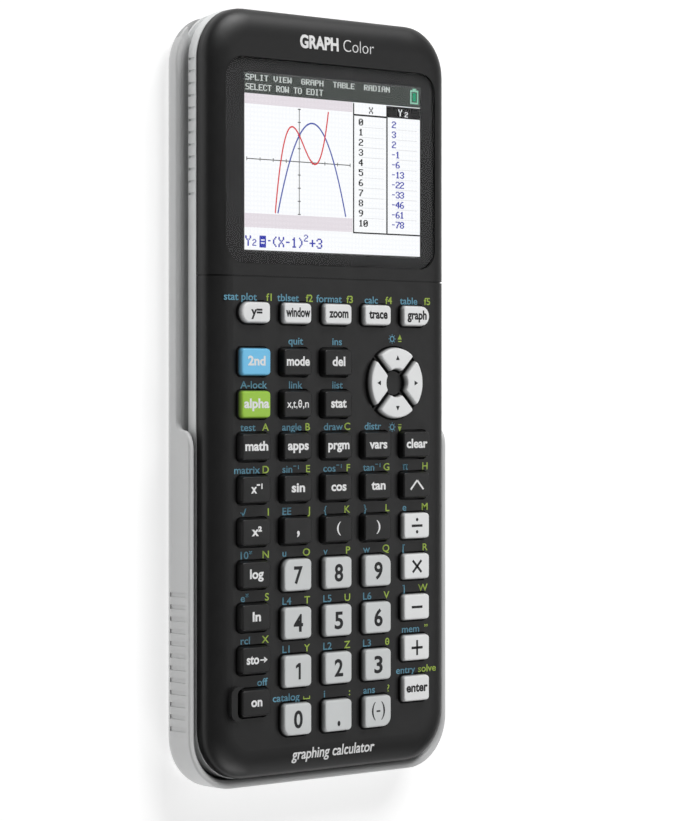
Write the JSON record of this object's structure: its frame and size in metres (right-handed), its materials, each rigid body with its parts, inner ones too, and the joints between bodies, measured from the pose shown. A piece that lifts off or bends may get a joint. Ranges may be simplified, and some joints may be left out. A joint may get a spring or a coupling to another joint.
{
  "type": "graphing calculator",
  "caption": "Slim handheld graphing calculator with a colour display, five columns of raised keys, an arrow pad and a slide-on case around its back.",
  "frame": {"origin": "middle of the object's plan, on the flat outer back of the slide case, which it lies on", "axes": "+X to the right of the face, +Y towards the display end, +Z out of the face; the object lies face up"},
  "size_m": [0.0848, 0.189, 0.0162],
  "materials": {
    "face_plastic": "fine satin texture",
    "window": "clear hard-coated cover, dark border printed behind it",
    "display": "lit colour display",
    "silicone": "matt silicone",
    "board": "solder mask",
    "shell_plastic": "satin silver strip, charcoal groove and back",
    "battery": "foil with a plain wrap",
    "door_plastic": "fine texture",
    "screw_steel": "black zinc",
    "case_plastic": "satin silver-grey",
    "key_light": "satin, dark printed marks",
    "key_dark": "satin, light printed marks",
    "key_blue": "satin",
    "key_green": "satin"
  },
  "bodies": {
    "calculator": {"front_housing": "face_plastic", "display_window": "window", "display_module": "display", "key_membrane": "silicone", "main_board": "board", "rear_shell": "shell_plastic", "battery_pack": "battery", "battery_door": "door_plastic", "screws": "screw_steel"},
    "slide_case": {"slide_case": "case_plastic"},
    "key_y_equals": {"key_y_equals": "key_light"},
    "key_window": {"key_window": "key_light"},
    "key_zoom": {"key_zoom": "key_light"},
    "key_trace": {"key_trace": "key_light"},
    "key_graph": {"key_graph": "key_light"},
    "key_second": {"key_second": "key_blue"},
    "key_mode": {"key_mode": "key_dark"},
    "key_delete": {"key_delete": "key_dark"},
    "key_alpha": {"key_alpha": "key_green"},
    "key_variable": {"key_variable": "key_dark"},
    "key_stat": {"key_stat": "key_dark"},
    "key_math": {"key_math": "key_dark"},
    "key_apps": {"key_apps": "key_dark"},
    "key_program": {"key_program": "key_dark"},
    "key_vars": {"key_vars": "key_dark"},
    "key_clear": {"key_clear": "key_dark"},
    "key_inverse": {"key_inverse": "key_dark"},
    "key_sine": {"key_sine": "key_dark"},
    "key_cosine": {"key_cosine": "key_dark"},
    "key_tangent": {"key_tangent": "key_dark"},
    "key_power": {"key_power": "key_dark"},
    "key_square": {"key_square": "key_dark"},
    "key_comma": {"key_comma": "key_dark"},
    "key_open_bracket": {"key_open_bracket": "key_dark"},
    "key_close_bracket": {"key_close_bracket": "key_dark"},
    "key_divide": {"key_divide": "key_light"},
    "key_log": {"key_log": "key_dark"},
    "key_7": {"key_7": "key_light"},
    "key_8": {"key_8": "key_light"},
    "key_9": {"key_9": "key_light"},
    "key_multiply": {"key_multiply": "key_light"},
    "key_ln": {"key_ln": "key_dark"},
    "key_4": {"key_4": "key_light"},
    "key_5": {"key_5": "key_light"},
    "key_6": {"key_6": "key_light"},
    "key_minus": {"key_minus": "key_light"},
    "key_store": {"key_store": "key_dark"},
    "key_1": {"key_1": "key_light"},
    "key_2": {"key_2": "key_light"},
    "key_3": {"key_3": "key_light"},
    "key_plus": {"key_plus": "key_light"},
    "key_on": {"key_on": "key_dark"},
    "key_0": {"key_0": "key_light"},
    "key_decimal": {"key_decimal": "key_light"},
    "key_negative": {"key_negative": "key_light"},
    "key_enter": {"key_enter": "key_light"},
    "key_arrow_up": {"key_arrow_up": "key_light"},
    "key_arrow_down": {"key_arrow_down": "key_light"},
    "key_arrow_left": {"key_arrow_left": "key_light"},
    "key_arrow_right": {"key_arrow_right": "key_light"}
  },
  "joints": [
    {"name": "slide_case_slide", "type": "slide", "parent": "calculator", "child": "slide_case", "axis": [0, -1, 0], "range_m": [0, 0.192]},
    {"name": "key_y_equals_press", "type": "slide", "parent": "calculator", "child": "key_y_equals", "axis": [0, 0, -1], "range_m": [0, 0.0012], "stiffness_N_per_m": 800, "springref_m": -0.0003, "deforming": ["key_membrane"]},
    {"name": "key_window_press", "type": "slide", "parent": "calculator", "child": "key_window", "axis": [0, 0, -1], "range_m": [0, 0.0012], "stiffness_N_per_m": 800, "springref_m": -0.0003, "deforming": ["key_membrane"]},
    {"name": "key_zoom_press", "type": "slide", "parent": "calculator", "child": "key_zoom", "axis": [0, 0, -1], "range_m": [0, 0.0012], "stiffness_N_per_m": 800, "springref_m": -0.0003, "deforming": ["key_membrane"]},
    {"name": "key_trace_press", "type": "slide", "parent": "calculator", "child": "key_trace", "axis": [0, 0, -1], "range_m": [0, 0.0012], "stiffness_N_per_m": 800, "springref_m": -0.0003, "deforming": ["key_membrane"]},
    {"name": "key_graph_press", "type": "slide", "parent": "calculator", "child": "key_graph", "axis": [0, 0, -1], "range_m": [0, 0.0012], "stiffness_N_per_m": 800, "springref_m": -0.0003, "deforming": ["key_membrane"]},
    {"name": "key_second_press", "type": "slide", "parent": "calculator", "child": "key_second", "axis": [0, 0, -1], "range_m": [0, 0.0012], "stiffness_N_per_m": 800, "springref_m": -0.0003, "deforming": ["key_membrane"]},
    {"name": "key_mode_press", "type": "slide", "parent": "calculator", "child": "key_mode", "axis": [0, 0, -1], "range_m": [0, 0.0012], "stiffness_N_per_m": 800, "springref_m": -0.0003, "deforming": ["key_membrane"]},
    {"name": "key_delete_press", "type": "slide", "parent": "calculator", "child": "key_delete", "axis": [0, 0, -1], "range_m": [0, 0.0012], "stiffness_N_per_m": 800, "springref_m": -0.0003, "deforming": ["key_membrane"]},
    {"name": "key_alpha_press", "type": "slide", "parent": "calculator", "child": "key_alpha", "axis": [0, 0, -1], "range_m": [0, 0.0012], "stiffness_N_per_m": 800, "springref_m": -0.0003, "deforming": ["key_membrane"]},
    {"name": "key_variable_press", "type": "slide", "parent": "calculator", "child": "key_variable", "axis": [0, 0, -1], "range_m": [0, 0.0012], "stiffness_N_per_m": 800, "springref_m": -0.0003, "deforming": ["key_membrane"]},
    {"name": "key_stat_press", "type": "slide", "parent": "calculator", "child": "key_stat", "axis": [0, 0, -1], "range_m": [0, 0.0012], "stiffness_N_per_m": 800, "springref_m": -0.0003, "deforming": ["key_membrane"]},
    {"name": "key_math_press", "type": "slide", "parent": "calculator", "child": "key_math", "axis": [0, 0, -1], "range_m": [0, 0.0012], "stiffness_N_per_m": 800, "springref_m": -0.0003, "deforming": ["key_membrane"]},
    {"name": "key_apps_press", "type": "slide", "parent": "calculator", "child": "key_apps", "axis": [0, 0, -1], "range_m": [0, 0.0012], "stiffness_N_per_m": 800, "springref_m": -0.0003, "deforming": ["key_membrane"]},
    {"name": "key_program_press", "type": "slide", "parent": "calculator", "child": "key_program", "axis": [0, 0, -1], "range_m": [0, 0.0012], "stiffness_N_per_m": 800, "springref_m": -0.0003, "deforming": ["key_membrane"]},
    {"name": "key_vars_press", "type": "slide", "parent": "calculator", "child": "key_vars", "axis": [0, 0, -1], "range_m": [0, 0.0012], "stiffness_N_per_m": 800, "springref_m": -0.0003, "deforming": ["key_membrane"]},
    {"name": "key_clear_press", "type": "slide", "parent": "calculator", "child": "key_clear", "axis": [0, 0, -1], "range_m": [0, 0.0012], "stiffness_N_per_m": 800, "springref_m": -0.0003, "deforming": ["key_membrane"]},
    {"name": "key_inverse_press", "type": "slide", "parent": "calculator", "child": "key_inverse", "axis": [0, 0, -1], "range_m": [0, 0.0012], "stiffness_N_per_m": 800, "springref_m": -0.0003, "deforming": ["key_membrane"]},
    {"name": "key_sine_press", "type": "slide", "parent": "calculator", "child": "key_sine", "axis": [0, 0, -1], "range_m": [0, 0.0012], "stiffness_N_per_m": 800, "springref_m": -0.0003, "deforming": ["key_membrane"]},
    {"name": "key_cosine_press", "type": "slide", "parent": "calculator", "child": "key_cosine", "axis": [0, 0, -1], "range_m": [0, 0.0012], "stiffness_N_per_m": 800, "springref_m": -0.0003, "deforming": ["key_membrane"]},
    {"name": "key_tangent_press", "type": "slide", "parent": "calculator", "child": "key_tangent", "axis": [0, 0, -1], "range_m": [0, 0.0012], "stiffness_N_per_m": 800, "springref_m": -0.0003, "deforming": ["key_membrane"]},
    {"name": "key_power_press", "type": "slide", "parent": "calculator", "child": "key_power", "axis": [0, 0, -1], "range_m": [0, 0.0012], "stiffness_N_per_m": 800, "springref_m": -0.0003, "deforming": ["key_membrane"]},
    {"name": "key_square_press", "type": "slide", "parent": "calculator", "child": "key_square", "axis": [0, 0, -1], "range_m": [0, 0.0012], "stiffness_N_per_m": 800, "springref_m": -0.0003, "deforming": ["key_membrane"]},
    {"name": "key_comma_press", "type": "slide", "parent": "calculator", "child": "key_comma", "axis": [0, 0, -1], "range_m": [0, 0.0012], "stiffness_N_per_m": 800, "springref_m": -0.0003, "deforming": ["key_membrane"]},
    {"name": "key_open_bracket_press", "type": "slide", "parent": "calculator", "child": "key_open_bracket", "axis": [0, 0, -1], "range_m": [0, 0.0012], "stiffness_N_per_m": 800, "springref_m": -0.0003, "deforming": ["key_membrane"]},
    {"name": "key_close_bracket_press", "type": "slide", "parent": "calculator", "child": "key_close_bracket", "axis": [0, 0, -1], "range_m": [0, 0.0012], "stiffness_N_per_m": 800, "springref_m": -0.0003, "deforming": ["key_membrane"]},
    {"name": "key_divide_press", "type": "slide", "parent": "calculator", "child": "key_divide", "axis": [0, 0, -1], "range_m": [0, 0.0012], "stiffness_N_per_m": 800, "springref_m": -0.0003, "deforming": ["key_membrane"]},
    {"name": "key_log_press", "type": "slide", "parent": "calculator", "child": "key_log", "axis": [0, 0, -1], "range_m": [0, 0.0012], "stiffness_N_per_m": 800, "springref_m": -0.0003, "deforming": ["key_membrane"]},
    {"name": "key_7_press", "type": "slide", "parent": "calculator", "child": "key_7", "axis": [0, 0, -1], "range_m": [0, 0.0012], "stiffness_N_per_m": 800, "springref_m": -0.0003, "deforming": ["key_membrane"]},
    {"name": "key_8_press", "type": "slide", "parent": "calculator", "child": "key_8", "axis": [0, 0, -1], "range_m": [0, 0.0012], "stiffness_N_per_m": 800, "springref_m": -0.0003, "deforming": ["key_membrane"]},
    {"name": "key_9_press", "type": "slide", "parent": "calculator", "child": "key_9", "axis": [0, 0, -1], "range_m": [0, 0.0012], "stiffness_N_per_m": 800, "springref_m": -0.0003, "deforming": ["key_membrane"]},
    {"name": "key_multiply_press", "type": "slide", "parent": "calculator", "child": "key_multiply", "axis": [0, 0, -1], "range_m": [0, 0.0012], "stiffness_N_per_m": 800, "springref_m": -0.0003, "deforming": ["key_membrane"]},
    {"name": "key_ln_press", "type": "slide", "parent": "calculator", "child": "key_ln", "axis": [0, 0, -1], "range_m": [0, 0.0012], "stiffness_N_per_m": 800, "springref_m": -0.0003, "deforming": ["key_membrane"]},
    {"name": "key_4_press", "type": "slide", "parent": "calculator", "child": "key_4", "axis": [0, 0, -1], "range_m": [0, 0.0012], "stiffness_N_per_m": 800, "springref_m": -0.0003, "deforming": ["key_membrane"]},
    {"name": "key_5_press", "type": "slide", "parent": "calculator", "child": "key_5", "axis": [0, 0, -1], "range_m": [0, 0.0012], "stiffness_N_per_m": 800, "springref_m": -0.0003, "deforming": ["key_membrane"]},
    {"name": "key_6_press", "type": "slide", "parent": "calculator", "child": "key_6", "axis": [0, 0, -1], "range_m": [0, 0.0012], "stiffness_N_per_m": 800, "springref_m": -0.0003, "deforming": ["key_membrane"]},
    {"name": "key_minus_press", "type": "slide", "parent": "calculator", "child": "key_minus", "axis": [0, 0, -1], "range_m": [0, 0.0012], "stiffness_N_per_m": 800, "springref_m": -0.0003, "deforming": ["key_membrane"]},
    {"name": "key_store_press", "type": "slide", "parent": "calculator", "child": "key_store", "axis": [0, 0, -1], "range_m": [0, 0.0012], "stiffness_N_per_m": 800, "springref_m": -0.0003, "deforming": ["key_membrane"]},
    {"name": "key_1_press", "type": "slide", "parent": "calculator", "child": "key_1", "axis": [0, 0, -1], "range_m": [0, 0.0012], "stiffness_N_per_m": 800, "springref_m": -0.0003, "deforming": ["key_membrane"]},
    {"name": "key_2_press", "type": "slide", "parent": "calculator", "child": "key_2", "axis": [0, 0, -1], "range_m": [0, 0.0012], "stiffness_N_per_m": 800, "springref_m": -0.0003, "deforming": ["key_membrane"]},
    {"name": "key_3_press", "type": "slide", "parent": "calculator", "child": "key_3", "axis": [0, 0, -1], "range_m": [0, 0.0012], "stiffness_N_per_m": 800, "springref_m": -0.0003, "deforming": ["key_membrane"]},
    {"name": "key_plus_press", "type": "slide", "parent": "calculator", "child": "key_plus", "axis": [0, 0, -1], "range_m": [0, 0.0012], "stiffness_N_per_m": 800, "springref_m": -0.0003, "deforming": ["key_membrane"]},
    {"name": "key_on_press", "type": "slide", "parent": "calculator", "child": "key_on", "axis": [0, 0, -1], "range_m": [0, 0.0012], "stiffness_N_per_m": 800, "springref_m": -0.0003, "deforming": ["key_membrane"]},
    {"name": "key_0_press", "type": "slide", "parent": "calculator", "child": "key_0", "axis": [0, 0, -1], "range_m": [0, 0.0012], "stiffness_N_per_m": 800, "springref_m": -0.0003, "deforming": ["key_membrane"]},
    {"name": "key_decimal_press", "type": "slide", "parent": "calculator", "child": "key_decimal", "axis": [0, 0, -1], "range_m": [0, 0.0012], "stiffness_N_per_m": 800, "springref_m": -0.0003, "deforming": ["key_membrane"]},
    {"name": "key_negative_press", "type": "slide", "parent": "calculator", "child": "key_negative", "axis": [0, 0, -1], "range_m": [0, 0.0012], "stiffness_N_per_m": 800, "springref_m": -0.0003, "deforming": ["key_membrane"]},
    {"name": "key_enter_press", "type": "slide", "parent": "calculator", "child": "key_enter", "axis": [0, 0, -1], "range_m": [0, 0.0012], "stiffness_N_per_m": 800, "springref_m": -0.0003, "deforming": ["key_membrane"]},
    {"name": "key_arrow_up_press", "type": "slide", "parent": "calculator", "child": "key_arrow_up", "axis": [0, 0, -1], "range_m": [0, 0.0012], "stiffness_N_per_m": 800, "springref_m": -0.0003, "deforming": ["key_membrane"]},
    {"name": "key_arrow_down_press", "type": "slide", "parent": "calculator", "child": "key_arrow_down", "axis": [0, 0, -1], "range_m": [0, 0.0012], "stiffness_N_per_m": 800, "springref_m": -0.0003, "deforming": ["key_membrane"]},
    {"name": "key_arrow_left_press", "type": "slide", "parent": "calculator", "child": "key_arrow_left", "axis": [0, 0, -1], "range_m": [0, 0.0012], "stiffness_N_per_m": 800, "springref_m": -0.0003, "deforming": ["key_membrane"]},
    {"name": "key_arrow_right_press", "type": "slide", "parent": "calculator", "child": "key_arrow_right", "axis": [0, 0, -1], "range_m": [0, 0.0012], "stiffness_N_per_m": 800, "springref_m": -0.0003, "deforming": ["key_membrane"]}
  ]
}
